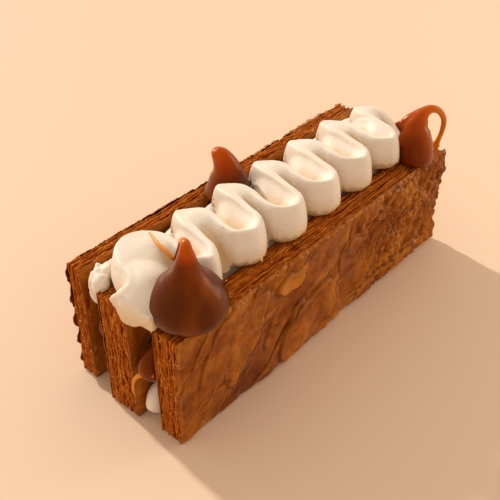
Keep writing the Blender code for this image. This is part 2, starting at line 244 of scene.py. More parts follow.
def glaze_finish():
    material, tree, shader = new_finish("pastry glazed face", 0.34, Specular_IOR_Level=0.38,
                                        Specular_Tint=BROWN_SHEEN)
    broad = noise(tree, 42.0, (1.0, 1.0, 1.5), 5.0, 0.6, 0.6)
    caramelised = ramp(tree, broad, [(0.32, (0.24, 0.050, 0.002)), (0.47, (0.38, 0.098, 0.004)),
                                     (0.58, (0.52, 0.165, 0.010)), (0.72, (0.68, 0.27, 0.035))])
    fine = noise(tree, 260.0, (1.0, 1.0, 1.0), 5.0, 0.7)
    flecks = ramp(tree, fine, [(0.36, (0.62, 0.55, 0.50)), (0.60, (1.0, 1.0, 1.0))])
    colour = mix(tree, 1.0, caramelised, flecks, "MULTIPLY")
    # The `fold` attribute mixes in a lighter golden brown: painted highlight along fold and flake
    # edges and round the face's border.
    edge = place(tree, "ShaderNodeAttribute", attribute_name="fold").outputs["Fac"]
    colour = mix(tree, edge, colour, (0.66, 0.27, 0.06, 1.0))
    tone = place(tree, "ShaderNodeAttribute", attribute_name="tone").outputs["Fac"]
    colour = mix(tree, 1.0, colour, ramp(tree, tone, [(0.0, (0.62, 0.50, 0.40)),
                                                      (0.5, (0.88, 0.88, 0.88)),
                                                      (1.0, (1.0, 1.0, 1.0))]), "MULTIPLY")
    colour = mix(tree, ramp(tree, tone, [(0.70, (0.0, 0.0, 0.0)), (1.0, (0.30, 0.30, 0.30))]),
                 colour, (0.72, 0.33, 0.07, 1.0))
    # Valleys are darkened: painted shade in the blister creases and along the low sides of folds
    # and flakes.
    valley = place(tree, "ShaderNodeAttribute", attribute_name="valley").outputs["Fac"]
    colour = mix(tree, 1.0, colour, ramp(tree, valley, [(0.0, (1.0, 1.0, 1.0)),
                                                        (1.0, (0.36, 0.24, 0.20))]), "MULTIPLY")
    tree.links.new(colour, shader.inputs["Base Color"])
    dull = place(tree, "ShaderNodeMapRange", {"Value": noise(tree, 90.0), "From Min": 0.35,
                                              "From Max": 0.65, "To Min": 0.22, "To Max": 0.55})
    tree.links.new(dull.outputs[0], shader.inputs["Roughness"])
    bump(tree, shader, noise(tree, 700.0, (1.0, 1.0, 1.0), 5.0, 0.6), 0.08 * MM, 0.6)
    return material


leaf_material = leaf_finish()
glaze_material = glaze_finish()
print("pastry finishes:", leaf_material.name, "and", glaze_material.name)

# %% [markdown]
# Each sheet has a thickness, a height at both ends and a slight lean. The frame gives its
# box; the taper and flare are the few sizes that a box can't tell.

# %% The three sheets
SHEETS = {
    "pastry_back": dict(leaves=10, taper=1.5 * MM, flare=0.0, shift=1.1 * MM, seed=3),
    "pastry_middle": dict(leaves=16, taper=0.0, flare=0.0, shift=-1.0 * MM, seed=17),
    "pastry_front": dict(leaves=13, taper=1.2 * MM, flare=1.3 * MM, shift=0.0, seed=31),
}
LEAN = 0.4 * MM          # how far a sheet's top leans towards the back
SKIN = 0.35 * MM         # thickness of the glazed skin on a wide face
for name, sheet in SHEETS.items():
    low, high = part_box(name)
    sheet["left"], sheet["right"] = low.x, high.x
    sheet["front"] = low.y + sheet["flare"]
    sheet["back"] = high.y - LEAN
    sheet["height"] = high.z
    print(name, "is", round((sheet["back"] - sheet["front"]) / MM, 1), "mm thick and",
          round(sheet["height"] / MM, 1), "mm high")


def settle(sheet, points):
    """Taper, lean and flare points that were made on an upright block."""
    share = points[:, 2] / sheet["height"]
    along = (points[:, 0] - sheet["left"]) / (sheet["right"] - sheet["left"])
    outward = (sheet["back"] - points[:, 1]) / (sheet["back"] - sheet["front"])
    points[:, 2] *= 1.0 - along * sheet["taper"] / sheet["height"]
    points[:, 1] += share * (LEAN - sheet["flare"] * np.clip(outward, 0.0, 1.0))
    return points


# %% [markdown]
# ### One leaf, then a stack of them
#
# A leaf could be one flat box, but its rim has to be round and dense enough to be bent and
# torn. So one leaf is made as rings around the sheet's outline, each a little further in.
# Geometry Nodes then repeat it: points on a line take one copy each, every copy learns its
# number, and noise that depends on the number waves it sideways and frays its rim.

# %% The template leaf
RIM_STEP = 0.45 * MM          # spacing of points along the rim, top and ends
FOOT_STEP = 1.5 * MM          # and along the underside


def outline_fractions(length, height):
    """Points round a unit rectangle as (along, up), dense at the top and the ends."""
    top = round(length / RIM_STEP)
    side = round(height / RIM_STEP)
    foot = round(length / FOOT_STEP)
    points = [(i / foot, 0.0) for i in range(foot)]
    points += [(1.0, i / side) for i in range(side)]
    points += [(1.0 - i / top, 1.0) for i in range(top)]
    points += [(0.0, 1.0 - i / side) for i in range(side)]
    return np.array(points)


def template_leaf(name, sheet, thickness):
    """A closed leaf in the XZ plane with a rounded rim; each ring is (y, inset)."""
    length = sheet["right"] - sheet["left"]
    fractions = outline_fractions(length, sheet["height"])
    half = thickness / 2
    rings = [(-half, 2.4 * MM), (-half, 0.7 * MM), (-0.8 * half, 0.12 * MM), (0.0, 0.0),
             (0.8 * half, 0.12 * MM), (half, 0.7 * MM), (half, 2.4 * MM)]
    points = []
    depths = []
    for y, inset in rings:
        for along, up in fractions:
            points.append((sheet["left"] + inset + along * (length - 2 * inset), y,
                           up * (sheet["height"] - inset)))
            depths.append(inset / MM)
    count = len(fractions)
    faces = [(r * count + i, r * count + (i + 1) % count,
              (r + 1) * count + (i + 1) % count, (r + 1) * count + i)
             for r in range(len(rings) - 1) for i in range(count)]
    faces.append(list(range(count)))
    faces.append([(len(rings) - 1) * count + i for i in range(count)])
    leaf = new_piece(name, points, faces, leaf_material)
    attribute = leaf.data.attributes.new("depth", "FLOAT", "POINT")
    attribute.data.foreach_set("value", depths)
    return leaf


# %% The node tree that stacks the leaves
def leaf_stack_tree():
    tree = bpy.data.node_groups.new("leaf stack", "GeometryNodeTree")
    face = tree.interface
    face.new_socket("Geometry", in_out="INPUT", socket_type="NodeSocketGeometry")
    face.new_socket("Leaves", in_out="INPUT", socket_type="NodeSocketInt")
    for name in ("Pitch", "Ragged", "Fray", "Wave", "Middle", "Half Length", "Height", "Seed"):
        face.new_socket(name, in_out="INPUT", socket_type="NodeSocketFloat")
    face.new_socket("Geometry", in_out="OUTPUT", socket_type="NodeSocketGeometry")
    given = tree.nodes.new("NodeGroupInput").outputs

    def maths(operation, first, second=0.0):
        return place(tree, "ShaderNodeMath", {0: first, 1: second}, operation=operation).outputs[0]

    def vector(x=0.0, y=0.0, z=0.0):
        return place(tree, "ShaderNodeCombineXYZ", {0: x, 1: y, 2: z}).outputs[0]

    line = place(tree, "GeometryNodeMeshLine",
                 {"Count": given["Leaves"], "Offset": vector(y=given["Pitch"])}, mode="OFFSET")
    copies = place(tree, "GeometryNodeInstanceOnPoints",
                   {"Points": line.outputs[0], "Instance": given["Geometry"]})
    index = place(tree, "GeometryNodeInputIndex").outputs[0]
    numbered = place(tree, "GeometryNodeStoreNamedAttribute",
                     {"Geometry": copies.outputs[0], "Name": "leaf", "Value": index},
                     data_type="FLOAT", domain="INSTANCE")
    real = place(tree, "GeometryNodeRealizeInstances", {0: numbered.outputs[0]})

    spot = place(tree, "GeometryNodeInputPosition").outputs[0]
    apart = place(tree, "ShaderNodeSeparateXYZ", {0: spot}).outputs
    leaf = place(tree, "GeometryNodeInputNamedAttribute", {"Name": "leaf"},
                 data_type="FLOAT").outputs[0]
    chance = maths("MULTIPLY_ADD", leaf, 3.71)
    tree.links.new(given["Seed"], chance.node.inputs[2])

    def waves(scale, detail, turn):
        """Noise from -1 to 1 that is different on every leaf."""
        made = place(tree, "ShaderNodeTexNoise",
                     {"Vector": spot, "W": maths("ADD", chance, turn), "Scale": scale,
                      "Detail": detail}, noise_dimensions="4D")
        return maths("MULTIPLY", maths("SUBTRACT", made.outputs["Fac"], 0.5), 3.0)

    def inward(value):
        """How far a value pulls the rim in: only ever inwards."""
        return maths("MULTIPLY", maths("ABSOLUTE", value), -1.0)

    sideways = maths("DIVIDE", maths("SUBTRACT", apart[0], given["Middle"]),
                     given["Half Length"])
    at_end = maths("POWER", sideways, 41.0)
    at_top = maths("POWER", maths("DIVIDE", apart[2], given["Height"]), 21.0)
    torn = maths("ADD", maths("MULTIPLY", inward(waves(120.0, 2.0, 0.0)), given["Ragged"]),
                 maths("MULTIPLY", inward(waves(310.0, 3.0, 9.0)), given["Fray"]))
    bend = maths("ADD", maths("MULTIPLY", waves(55.0, 1.0, 31.0), given["Wave"]),
                 maths("MULTIPLY", waves(210.0, 2.0, 47.0),
                       maths("MULTIPLY", given["Wave"], 0.45)))
    move = vector(maths("MULTIPLY", at_end, torn), bend, maths("MULTIPLY", at_top, torn))
    bent = place(tree, "GeometryNodeSetPosition", {"Geometry": real.outputs[0], "Offset": move})
    painted = place(tree, "GeometryNodeSetMaterial",
                    {"Geometry": bent.outputs[0], "Material": leaf_material})
    place(tree, "NodeGroupOutput", {0: painted.outputs[0]})
    return tree


def run_tree(piece, tree, **values):
    """Give the piece a Geometry Nodes modifier, set its inputs and bake the result."""
    modifier = piece.modifiers.new(tree.name, "NODES")
    modifier.node_group = tree
    for socket in tree.interface.items_tree:
        name = socket.name.lower().replace(" ", "_")
        if socket.in_out == "INPUT" and name in values:
            modifier[socket.identifier] = values[name]
    bake(piece)


# %% Stack the leaves of each sheet
stack_tree = leaf_stack_tree()
for name, sheet in SHEETS.items():
    inner = sheet["back"] - sheet["front"] - 2 * SKIN
    pitch = inner / sheet["leaves"]
    stack = template_leaf(name + "_leaves", sheet, 0.90 * pitch)
    run_tree(stack, stack_tree, leaves=sheet["leaves"], pitch=pitch, ragged=1.15 * MM,
             fray=0.60 * MM, wave=0.50 * MM, middle=(sheet["left"] + sheet["right"]) / 2,
             half_length=(sheet["right"] - sheet["left"]) / 2, height=sheet["height"],
             seed=float(sheet["seed"]))
    places = np.array([v.co for v in stack.data.vertices])
    places[:, 1] += sheet["front"] + SKIN + pitch / 2
    places[:, 2] = np.maximum(places[:, 2], 0.0)
    stack.data.vertices.foreach_set("co", settle(sheet, places).ravel())
    hand_over(stack, "pastry", name)

# %% [markdown]
# ### Glazed faces
#
# The wide faces show thin leaves that folded and stuck down before they caramelised. Each
# fold is a low step along a bowed line: high on one side and fading away from the edge.
# Its edge gets a painted highlight and its low side a painted shadow in the colour. A fold
# is written as its two ends on the face, its bow, its height and how far it fades. The front
# face has its folds one by one; the hidden faces get folds by chance from a seed.

# %% Folds of the glazed faces
# x and z of both ends, bow to the left, height, fade; all in millimetres. The left side
# of the line, seen from outside the face, is the high one.
FRONT_FOLDS = [
    (-14.0, 21.0, -35.0, 0.5, 2.2, 0.55, 9.0), (-44.0, 6.0, -20.0, 25.0, 1.0, 0.30, 5.0),
    (-59.0, 7.5, -45.5, 23.5, -1.2, 0.35, 3.0), (-60.0, 21.5, -47.0, 28.0, 1.2, 0.30, 5.0),
    (-53.0, 2.0, -40.0, 22.0, 0.8, 0.28, 2.5), (-47.0, 1.0, -37.0, 16.0, -0.8, 0.25, 2.5),
    (5.4, 0.0, 2.8, 15.0, -1.5, 0.75, 16.0), (-28.0, 2.0, -11.0, 26.0, 2.0, 0.35, 6.0),
    (9.6, 33.0, 6.5, 23.5, 0.8, 0.35, 6.0), (-24.0, 25.0, -13.0, 30.5, -1.0, 0.40, 3.0),
    (24.0, 12.0, 36.5, 24.0, 1.2, 0.40, 3.0), (38.0, 12.0, 48.5, 27.0, -1.4, 0.42, 3.0),
    (33.0, 22.0, 45.0, 29.5, 1.0, 0.40, 4.0), (46.0, 18.0, 55.0, 30.0, -1.0, 0.40, 3.0),
    (13.0, 17.0, 17.0, 25.0, 0.6, 0.30, 2.0), (18.0, 8.0, 27.0, 20.0, 1.0, 0.35, 3.0),
    (30.0, 6.0, 41.0, 16.0, 1.2, 0.35, 3.0), (43.0, 7.0, 56.0, 18.0, -1.2, 0.35, 3.0),
    (57.0, 4.5, 7.0, 4.0, -1.2, 0.45, 7.0), (12.0, 27.0, 26.0, 32.0, 1.0, 0.30, 3.0),
]


# Large flaps of the front face as x, z, half length, half width, turn, rise, tone.
FRONT_FLAPS = [(-9.5, 7.0, 16.5, 8.5, 62.0, 0.9, 0.75), (-18.3, 29.8, 6.0, 2.4, 18.0, 0.9, 0.9),
               (11.0, 21.0, 8.0, 6.0, 70.0, 0.45, 0.3), (-46.0, 24.0, 12.0, 5.0, 50.0, 0.5, 0.2),
               (28.0, 31.0, 6.0, 3.0, 10.0, 0.8, 0.7), (49.0, 25.0, 5.0, 4.0, 60.0, 0.8, 0.6)]


def crowding(x):
    """The right end of the long face is the most crumpled: 0 at the left to 1."""
    return ease((x - 2.0) / 32.0)


def chance_flakes(chance, count):
    """Flakes as x, z, half length, half width, turn, rise and tone."""
    flakes = []
    for _ in range(count):
        x, z = chance.uniform(-60, 62), chance.uniform(-2, 36)
        crowd = float(crowding(x))
        length = chance.uniform(7, 19) * (1.0 - 0.72 * crowd)
        flakes.append((x, z, length, length * (chance.uniform(0.2, 0.42) + 0.22 * crowd),
                       chance.uniform(28 - 18 * crowd, 60 + 15 * crowd),
                       chance.uniform(0.12, 0.34) * (1.0 + crowd),
                       chance.uniform(0.05, 0.95)))
    return flakes


def flake_relief(x, z, flakes, chance):
    """Torn leaves stuck on one after another: height, painted edge highlight, painted shadow and
    tone of each point.
    """
    height, edge, shade = np.zeros_like(x), np.zeros_like(x), np.zeros_like(x)
    tone = np.full_like(x, 0.5)
    for cx, cz, half_length, half_width, degrees, rise, own_tone in flakes:
        turn = math.radians(degrees)
        u = (x - cx) * math.cos(turn) + (z - cz) * math.sin(turn)
        v = -(x - cx) * math.sin(turn) + (z - cz) * math.cos(turn)
        around = np.arctan2(v / half_width, u / half_length)
        waves = sum(0.5 ** k * math.pi / 14 * np.sin((k + 2) * around + chance.uniform(0, 6))
                    for k in range(4))
        inside = (1.0 - np.hypot(u / half_length, v / half_width) - waves) * half_width
        cover = ease(inside / 0.3 + 0.5)
        crisp = ease(0.5 + 0.9 * np.cos(around - chance.uniform(0, 6)) + (rise > 0.7))
        height = height * (1.0 - 0.5 * cover) + rise * cover * (
            0.35 + 0.65 * crisp * np.exp(-np.maximum(inside, 0.0) / 1.8))
        edge = np.maximum(edge * (1.0 - 0.85 * cover),
                          crisp * np.exp(-((inside - 0.22) / 0.22) ** 2))
        shade = np.maximum(shade * (1.0 - 0.9 * cover),
                           crisp * np.exp(-((inside + 0.3) / 0.32) ** 2))
        tone = tone + (own_tone - tone) * 0.75 * cover
    return height, edge, shade, tone


def step_shade(off):
    """The painted shadow line along the low side of a fold."""
    return np.exp(-((off + 0.45) / 0.45) ** 2)


def fold_relief(x, z, folds):
    """Height of the face, nearness to a fold's edge for a painted highlight and to its low side
    for a painted shadow.
    """
    height = np.zeros_like(x)
    edge = np.zeros_like(x)
    shade = np.zeros_like(x)
    for x0, z0, x1, z1, bow, rise, fade in folds:
        length = math.hypot(x1 - x0, z1 - z0)
        ux, uz = (x1 - x0) / length, (z1 - z0) / length
        share = ((x - x0) * ux + (z - z0) * uz) / length
        off = (z - z0) * ux - (x - x0) * uz
        off = off - bow * (1.0 - (2.0 * share - 1.0) ** 2)
        off = off + 0.35 * np.sin(9.0 * share + x0) + 0.15 * np.sin(31.0 * share + z0)
        taper = ease((share + 0.05) / 0.25) * ease((1.05 - share) / 0.25)
        step = ease((off + 0.22) / 0.44)
        height += rise * taper * step * np.exp(-np.maximum(off, 0.0) / fade)
        edge = np.maximum(edge, taper * np.exp(-((off - 0.25) / 0.3) ** 2))
        shade = np.maximum(shade, taper * step_shade(off) * min(1.0, rise / 0.5))
    return height, edge, shade


def soft_noise(x, z, seed, size, octaves=3):
    """Smooth noise of about +-1 from a few sums of sines, for relief worked out in numpy."""
    chance = random.Random(seed)
    total = np.zeros_like(x)
    for octave in range(octaves):
        for _ in range(5):
            turn = chance.uniform(0, math.pi)
            wave = 2 ** octave / size
            total += 0.5 ** octave * np.sin(
                (x * math.cos(turn) + z * math.sin(turn)) * 2 * math.pi * wave
                + chance.uniform(0, 2 * math.pi))
    return total / 3.0


RELIEF = 1.5             # how much the folds and blisters stand out


def glazed_face(name, sheet, outward, folds, count, wrinkle, step):
    """A thin skin on a sheet's front (outward -1) or back (+1) face."""
    across = round((sheet["right"] - sheet["left"]) / step)
    up = round(sheet["height"] / step)
    u, v = np.meshgrid(np.linspace(0, 1, across + 1), np.linspace(0, 1, up + 1))
    x = sheet["left"] + u * (sheet["right"] - sheet["left"])
    z = v * sheet["height"]
    flat_x, flat_z = (x - SHIFT[0]) / MM, z / MM
    height, edge, shade = fold_relief(flat_x, flat_z, folds)
    chance = random.Random(sheet["seed"] + outward)
    flakes = chance_flakes(chance, count) + (FRONT_FLAPS if folds else [])
    lifted, flake_edge_highlight, flake_shade, tone = flake_relief(flat_x, flat_z, flakes, chance)
    height = height + lifted
    edge = np.maximum(edge, 0.8 * flake_edge_highlight)
    shade = np.maximum(shade, 0.8 * flake_shade)
    slanted = flat_x * 0.68 + flat_z * 0.73
    crossed = -flat_x * 0.73 + flat_z * 0.68
    creases = soft_noise(slanted * 0.35, crossed, sheet["seed"] + 5, 4.2)
    blisters = soft_noise(slanted * 0.6, crossed, sheet["seed"] + 7, 7.5)
    crowd = 0.30 + 0.70 * crowding(flat_x)
    height = height + wrinkle * crowd * (1.0 - np.abs(creases)) ** 2
    height = height + 2.6 * wrinkle * crowd ** 2 * np.abs(blisters) ** 0.7
    height = height + 0.15 * soft_noise(flat_x, flat_z, sheet["seed"], 14.0)
    # Painted shade in the blister creases of the crumpled end and on the low sides of folds and
    # flakes.
    valley = np.maximum(crowd * np.clip(1.0 - np.abs(blisters) / 0.14, 0.0, 1.0), shade)
    rim = np.minimum(np.minimum(u, 1 - u) * (across * step / MM),
                     np.minimum(v, 1 - v) * (up * step / MM))
    height = height * ease(rim / 1.2 + 0.25) - 0.35 * (1 - ease(rim / 0.8))
    ragged = 1.7 * wrinkle * MM * soft_noise(flat_x, flat_z, sheet["seed"] + 9, 6.0, 4)
    z = np.clip(z - ease((v - 0.96) / 0.04) * (np.abs(ragged) - 0.1 * MM), 0.0, None)
    x = x + ragged * np.where(u < 0.5, ease((0.01 - u) / 0.01), -ease((u - 0.99) / 0.01))
    face = sheet["front"] if outward < 0 else sheet["back"]
    y = face + outward * height * RELIEF * MM
    outer = np.stack([x, y, z], axis=-1).reshape(-1, 3)
    total = (across + 1) * (up + 1)
    faces = [(j * (across + 1) + i, j * (across + 1) + i + 1,
              (j + 1) * (across + 1) + i + 1, (j + 1) * (across + 1) + i)
             for j in range(up) for i in range(across)]
    border = [i for i in range(across + 1)]
    border += [j * (across + 1) + across for j in range(1, up + 1)]
    border += [up * (across + 1) + i for i in range(across - 1, -1, -1)]
    border += [j * (across + 1) for j in range(up - 1, 0, -1)]
    inner = outer[border].copy()
    inner[:, 1] = face - outward * SKIN
    faces += [(border[k], border[(k + 1) % len(border)], total + (k + 1) % len(border),
               total + k) for k in range(len(border))]
    faces.append([total + k for k in range(len(border))])
    points = settle(sheet, np.concatenate([outer, inner]))
    skin = new_piece(name, points, faces, glaze_material)
    # Painted highlight along the fold and flake edges and round the skin's border, kept as `fold`.
    lit = np.maximum(edge, ease(1.0 - rim / 0.7)) * 0.5
    store(skin, "fold", np.concatenate([lit.ravel(), np.zeros(len(border))]))
    store(skin, "valley", np.concatenate([valley.ravel(), np.zeros(len(border))]))
    store(skin, "tone", np.concatenate([tone.ravel(), np.full(len(border), 0.5)]))
    return skin


# %% Skin both wide faces of every sheet
for name, sheet in SHEETS.items():
    for side, outward in (("front", -1), ("back", 1)):
        main = name + side in ("pastry_frontfront", "pastry_backback")
        folds = FRONT_FOLDS if (name, side) == ("pastry_front", "front") else []
        skin = glazed_face(f"{name}_glaze_{side}", sheet, outward, folds,
                           90 if main else 24, 0.30 if main else 0.06,
                           (0.33 if main else 0.8) * MM)
        hand_over(skin, "pastry")

# %% [markdown]
# ## Cream
#
# The cream is whipped with vanilla: warm white, soft, a little translucent, with fine dark
# seeds. Light goes a short way in, so the finish has subsurface scattering.

# %% Finish of the cream
def cream_finish():
    material, tree, shader = new_finish("whipped cream", 0.48, Subsurface_Weight=0.15,
                                        Subsurface_Radius=(1.0, 0.75, 0.5),
                                        Subsurface_Scale=1.2 * MM, Specular_IOR_Level=0.3)
    tone = ramp(tree, noise(tree, 60.0, (1, 1, 1), 3.0), [(0.35, (0.79, 0.70, 0.60)),
                                                          (0.65, (0.85, 0.77, 0.68))])
    specks = ramp(tree, noise(tree, 2600.0, (1, 1, 1), 1.0),
                  [(0.24, (0.72, 0.66, 0.58)), (0.33, (1.0, 1.0, 1.0))])
    # Darker and yellower where `hollow` is high: painted shade in the hollows, the crevices
    # between barrels and near the foot.
    hollow = place(tree, "ShaderNodeAttribute", attribute_name="hollow").outputs["Fac"]
    hollow_shade = ramp(tree, hollow, [(0.0, (1.0, 1.0, 1.0)), (0.4, (0.92, 0.79, 0.58)),
                                 (1.0, (0.74, 0.55, 0.32))])
    colour = mix(tree, 1.0, mix(tree, 1.0, tone, hollow_shade, "MULTIPLY"), specks, "MULTIPLY")
    tree.links.new(colour, shader.inputs["Base Color"])
    strokes = noise(tree, 420.0, (0.35, 0.35, 2.2), 4.0, 0.6)
    bump(tree, shader, strokes, 0.10 * MM, 0.5)
    return material


cream_material = cream_finish()

# %% [markdown]
# ### The piped serpentine
#
# A wide nozzle swung from side to side as it moved along, so the cream is one ribbon with
# a thin raised crest. At each right-hand turn the crest is a sharp rim round a hollow; at
# each left-hand turn it melts into a smooth dome. It could be swept as a tube, but then
# the hollows and domes would not melt together. So it is worked out as a height over the
# plan: the crest line is drawn first, and each point of the plan then drops below the
# crest by a depth that depends on how far it is from the line and on which side.

# %% The crest line
# For each right-hand lobe: X of its near and far arm, how far right it reaches, its height.
LOBES = [(-43.2, -36.9, -14.4, 47.1), (-28.9, -20.0, -14.9, 47.3), (-14.1, -5.0, -16.3, 47.4),
         (1.7, 10.6, -16.0, 47.3), (17.6, 26.0, -15.9, 47.3), (33.6, 41.4, -15.4, 46.6)]
LEFT_REACH = 7.7          # how far left the crest goes between two lobes
LEFT_DROP = 1.0           # how much lower it is there
ARM_SLANT = 0.16          # an arm's drift along X for each step along Y
LAST_TURN = 7.4           # from the last lobe's far arm to the arm that ends the ribbon


def through(knots, steps):
    """Points of a Catmull-Rom curve through rows of numbers."""
    knots = np.array(knots, float)
    padded = np.vstack([2 * knots[0] - knots[1], knots, 2 * knots[-1] - knots[-2]])
    t = np.linspace(0, 1, steps, endpoint=False)[:, None]
    parts = []
    for before, start, end, after in zip(padded, padded[1:], padded[2:], padded[3:]):
        parts.append(0.5 * (2 * start + (end - before) * t
                            + (2 * before - 5 * start + 4 * end - after) * t ** 2
                            + (3 * start - before - 3 * end + after) * t ** 3))
    return np.vstack(parts + [knots[-1:]])


def crest_line():
    """Tail, nose and first turn, then arm, turn, arm, turn along the slice."""
    high = LOBES[0][3]
    knots = [(-62.4, 0.2, 40.9), (-60.7, -2.0, 42.8), (-59.8, -3.4, 44.2), (-58.6, -2.8, 45.4),
             (-57.5, -0.9, 46.3), (-56.5, 2.0, 46.9), (-54.6, 5.6, 47.0), (-51.8, 8.2, 46.9),
             (-48.4, 9.5, 46.5), (-45.0, 9.0, 46.2), (-42.6, 6.6, 46.4)]
    for index, (near, far, reach, height) in enumerate(LOBES):
        last = index == len(LOBES) - 1
        following = far + LAST_TURN if last else LOBES[index + 1][0]
        knots += [(near + 1.6, 2.7, height - 0.2), (near + 1.3, -1.9, height),
                  (near - 0.1, -6.2, height), (near - 0.6, -10.0, height),
                  (near + 0.7, reach + 3.4, height - 0.1),
                  ((near + far) / 2 - 0.3, reach + 1.6, height - 0.3),
                  (far - 1.3, reach + 3.3, height - 0.2), (far, -9.5, height),
                  (far + 0.6, -6.6, height), (far + 1.6, -2.2, height),
                  (far + 2.2, 2.4, height - 0.2),
                  ((far + following) / 2 + 0.4, LEFT_REACH - (1.6 if last else 0.3),
                   height - LEFT_DROP),
                  ((far + following) / 2 + 2.4, LEFT_REACH - (2.2 if last else 0.2),
                   height - LEFT_DROP)]
    knots += [(50.6, 1.0, 45.6), (49.6, -5.3, 43.6), (47.2, -10.2, 41.5)]
    return through(knots, 16)


crest = crest_line()
print("crest line:", len(crest), "points")

# %% [markdown]
# The depth below the crest follows a few rules. Inside a right-hand turn lies a hollow
# like the bowl of a spoon: a long even slope comes down from the far arm, the near arm
# stands up steeply, and the bowl opens to the left. Inside a left-hand turn the cream is a
# smooth dome at the left that deepens to a crevice between two barrels at the right.

# %% Height of the cream over the plan
HOLLOW_RIM = 1.35         # half width over which the crest is rounded inside a turn
WALL_RIM = 2.2            # and towards the walls
WALL = 14.0               # depth at which a wall ends
HOLLOW_DEPTH = 5.0
CREAM_STEP = 0.30         # spacing of the grid, millimetres
TURN_START = -9.0         # right of this y the crest is turning
END_WALL = -55.0          # before this x the first turn's left side is a plain wall


def span(value, start, end):
    """Smooth step of a value from start (0) to end (1); start may be the larger."""
    return ease((value - start) / (end - start))


def crossings(fixed, moving, level):
    """Where a line crosses a level: the moving coordinate, and the direction of crossing."""
    below = fixed < level
    at = np.nonzero(below[1:] != below[:-1])[0]
    share = (level - fixed[at]) / (fixed[at + 1] - fixed[at])
    return moving[at] + share * (moving[at + 1] - moving[at]), below[at]


def rounded(gap, radius):
    """0 on the crest, 1 at the radius, along a quarter circle."""
    return 1.0 - np.sqrt(1.0 - np.clip(gap / radius, 0.0, 1.0) ** 2)


def nearest_crest(x, y, line):
    """Distance to the crest line in plan, and the crest's height near each point."""
    points = np.stack([x.ravel(), y.ravel()], axis=1)
    height = np.empty(len(points))
    gap = np.empty(len(points))
    for start in range(0, len(points), 4000):
        part = slice(start, start + 4000)
        squared = ((points[part, None, :] - line[None, :, :2]) ** 2).sum(axis=2)
        gap[part] = np.sqrt(squared.min(axis=1))
        weight = 1.0 / (squared + 0.6) ** 2
        height[part] = (weight * line[:, 2]).sum(axis=1) / weight.sum(axis=1)
    return gap.reshape(x.shape), height.reshape(x.shape)


def cream_height(x, y, line):
    """Height of the cream's top over a grid of x and y, all in millimetres."""
    gap, height = nearest_crest(x, y, line)
    ahead = np.full_like(x, 60.0)
    behind = np.full_like(x, 60.0)
    below = np.full_like(x, 60.0)
    hollow = np.zeros(x.shape, bool)
    columns = x[0]
    for row in range(x.shape[0]):
        at, upward = crossings(line[:, 1], line[:, 0], y[row, 0])
        order = np.argsort(at)
        at, upward = at[order], upward[order]
        after = np.searchsorted(at, columns)
        inside = after < len(at)
        ahead[row, inside] = at[after[inside]] - columns[inside]
        hollow[row, inside] = upward[after[inside]]
        hollow[row, ~inside] = y[row, 0] > 0
        past = after > 0
        behind[row, past] = columns[past] - at[after[past] - 1]
    for column in range(x.shape[1]):
        at, _ = crossings(line[:, 0], line[:, 1], columns[column])
        for value in at[at < TURN_START]:
            rows = y[:, column] >= value
            below[rows, column] = np.minimum(below[rows, column], y[rows, column] - value)

    deep_hollow = (HOLLOW_DEPTH + 1.6 * span(y, -2.0, 4.0)
                   + (WALL - HOLLOW_DEPTH - 1.6) * span(y, 4.0, 8.5))
    slope = np.clip(ahead / (6.4 - 3.6 * span(y, 0.0, 6.0)), 0.0, 1.0)
    bowl = below - 6.5 * span(x, 32.0, 36.0)
    hollow_depth = (deep_hollow * slope * (1.2 - 0.2 * slope)
                    * (0.30 + 0.70 * ease(bowl / 6.5)) * rounded(gap, HOLLOW_RIM))
    deep_saddle = (1.3 * span(y, 4.0, -2.5) + 3.6 * span(y, 0.0, -8.0)
                   + 9.5 * span(y, -5.5, -14.0)) * (1.0 - 0.7 * span(x, -46.0, -52.0))
    far_side = ease(0.06 + ahead / (7.0 - 5.2 * span(y, 4.0, -9.0)))
    near_side = ease(0.12 + behind / (4.0 - 3.0 * span(y, 3.0, -5.0)))
    saddle_rim = WALL_RIM - 0.6 * span(y, -12.0, -8.0)
    saddle_depth = deep_saddle * far_side * near_side * rounded(gap, saddle_rim)
    depth = np.where(hollow, hollow_depth, saddle_depth)
    outside = (x < line[:, 0].min() + 0.6) | (ahead > 30.0) | (hollow & (x < END_WALL))
    depth = np.where(outside, WALL * rounded(gap, WALL_RIM), depth)
    return height - depth


def mound(x, y, centre, radii):
    """Height of an ellipsoid's top over the plan, very low outside it."""
    inside = 1.0 - ((x - centre[0]) / radii[0]) ** 2 - ((y - centre[1]) / radii[1]) ** 2
    return np.where(inside > 0, centre[2] + radii[2] * np.sqrt(np.abs(inside)), -99.0)


def blend_higher(first, second, reach):
    """The higher of two heights, melted together where they are within reach."""
    share = np.clip(0.5 + 0.5 * (first - second) / reach, 0.0, 1.0)
    return second + (first - second) * share + reach * share * (1.0 - share)


def cream_floor(x, y):
    """What the cream rests on: the sheets' tops, the fillings, and air before the end."""
    floor = np.where(y < -11.0, 35.3, np.where(y < -3.7, 35.2, 37.0))
    hanging = 34.4 + 1.8 * np.maximum(y + 3.5, 0.0) + 0.9 * np.maximum(-7.5 - y, 0.0)
    return np.where(x < -60.9, hanging, floor)


# %% Build the cream as a solid over the plan
FOOT_REACH = 3.4          # how far the foot is drawn in under the walls
FOOT_HEIGHT = 6.6         # and up to which height


def depth_inside(filled):
    """For every filled point of the grid, how far it lies inside the outline."""
    padded = np.pad(filled, 1)
    near = padded[:-2, 1:-1] | padded[2:, 1:-1] | padded[1:-1, :-2] | padded[1:-1, 2:]
    outline = np.argwhere(near & ~filled).astype(float)
    inside = np.zeros(filled.shape)
    points = np.argwhere(filled)
    for start in range(0, len(points), 2000):
        part = points[start:start + 2000]
        apart = ((part[:, None, :] - outline[None, :, :]) ** 2).sum(axis=2).min(axis=1)
        inside[part[:, 0], part[:, 1]] = np.sqrt(apart) * CREAM_STEP
    return inside


